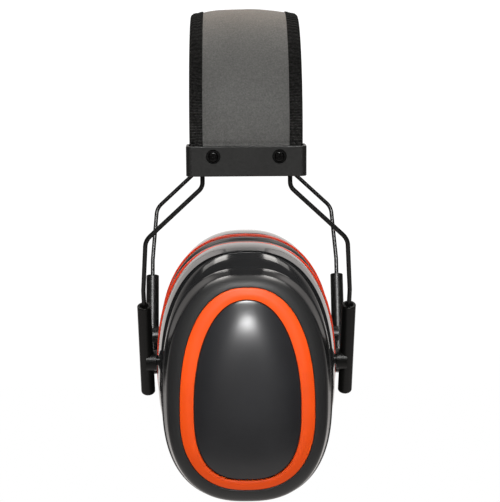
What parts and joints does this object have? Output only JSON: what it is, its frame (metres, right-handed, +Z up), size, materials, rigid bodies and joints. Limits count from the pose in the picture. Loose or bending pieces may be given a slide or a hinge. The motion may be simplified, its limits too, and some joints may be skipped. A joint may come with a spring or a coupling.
{
  "type": "hearing protection earmuffs",
  "caption": "Over-the-head hearing protection earmuffs: egg-shaped dark cups with orange rings on a padded reflective spring headband with sliding, swivelling wire arms.",
  "frame": {"origin": "middle of the headband's underside, where it rests on the crown of the head", "axes": "+X the wearer's forward, +Y the wearer's left, +Z up"},
  "size_m": [0.1026, 0.1162, 0.2327],
  "materials": {
    "reflective_fabric": "retroreflective grey",
    "padding_foam": "open-cell foam",
    "lining_fabric": "matte black",
    "binding_tape": "woven tape",
    "coated_wire": "black coated spring steel",
    "bracket_plastic": "satin",
    "screw_steel": "black oxide",
    "slider_plastic": "satin",
    "cup_plastic": "glossy moulded",
    "orange_plastic": "satin",
    "dome_plastic": "glossy moulded",
    "orange_plate": "glossy moulded",
    "cushion_skin": "soft vinyl",
    "absorber": "open-cell foam"
  },
  "bodies": {
    "headband": {"headband_cover": "reflective_fabric", "headband_foam": "padding_foam", "headband_lining": "lining_fabric", "edge_binding_front": "binding_tape", "edge_binding_rear": "binding_tape"},
    "right_arm": {"right_spring_wire_front": "coated_wire", "right_spring_wire_rear": "coated_wire", "right_bracket_outer_half": "bracket_plastic", "right_bracket_inner_half": "bracket_plastic", "right_bracket_screws": "screw_steel"},
    "right_sliders": {"right_slider_front": "slider_plastic", "right_slider_rear": "slider_plastic"},
    "right_cup": {"right_cup_rear_shell": "cup_plastic", "right_cup_front_cap": "cup_plastic", "right_face_ring": "orange_plastic", "right_face_dome": "dome_plastic", "right_cushion_plate": "orange_plate", "right_cushion_cover": "cushion_skin", "right_cushion_foam": "padding_foam", "right_absorber_foam": "absorber"},
    "left_arm": {"left_spring_wire_front": "coated_wire", "left_spring_wire_rear": "coated_wire", "left_bracket_outer_half": "bracket_plastic", "left_bracket_inner_half": "bracket_plastic", "left_bracket_screws": "screw_steel"},
    "left_sliders": {"left_slider_front": "slider_plastic", "left_slider_rear": "slider_plastic"},
    "left_cup": {"left_cup_rear_shell": "cup_plastic", "left_cup_front_cap": "cup_plastic", "left_face_ring": "orange_plastic", "left_face_dome": "dome_plastic", "left_cushion_plate": "orange_plate", "left_cushion_cover": "cushion_skin", "left_cushion_foam": "padding_foam", "left_absorber_foam": "absorber"}
  },
  "joints": [
    {"name": "right_flex", "type": "hinge", "parent": "headband", "child": "right_arm", "pos_m": [0, 0, 0.0085], "axis": [-1, 0, 0], "range_deg": [0, 26], "stiffness_Nm_per_rad": 1.9, "springref_deg": -24.06, "deforming": ["headband_cover", "headband_foam", "headband_lining", "edge_binding_front", "edge_binding_rear"]},
    {"name": "right_height", "type": "slide", "parent": "right_arm", "child": "right_sliders", "axis": [0, 0.3907, -0.9205], "range_m": [-0.008, 0.018], "deforming": ["right_cushion_cover", "right_cushion_foam"]},
    {"name": "right_cup_tilt", "type": "hinge", "parent": "right_sliders", "child": "right_cup", "pos_m": [0, -0.02486, -0.15756], "axis": [1, 0, 0], "range_deg": [0, 26]},
    {"name": "left_flex", "type": "hinge", "parent": "headband", "child": "left_arm", "pos_m": [0, 0, 0.0085], "axis": [1, 0, 0], "range_deg": [0, 26], "stiffness_Nm_per_rad": 1.9, "springref_deg": -24.06},
    {"name": "left_height", "type": "slide", "parent": "left_arm", "child": "left_sliders", "axis": [0, -0.3907, -0.9205], "range_m": [-0.008, 0.018], "deforming": ["left_cushion_cover", "left_cushion_foam"]},
    {"name": "left_cup_tilt", "type": "hinge", "parent": "left_sliders", "child": "left_cup", "pos_m": [0, 0.02486, -0.15756], "axis": [-1, 0, 0], "range_deg": [0, 26]}
  ],
  "couplings": [
    {"joint": "left_flex", "follows": "right_flex", "ratio": 1},
    {"joint": "right_cup_tilt", "follows": "right_flex", "ratio": 1},
    {"joint": "left_cup_tilt", "follows": "right_flex", "ratio": 1}
  ]
}
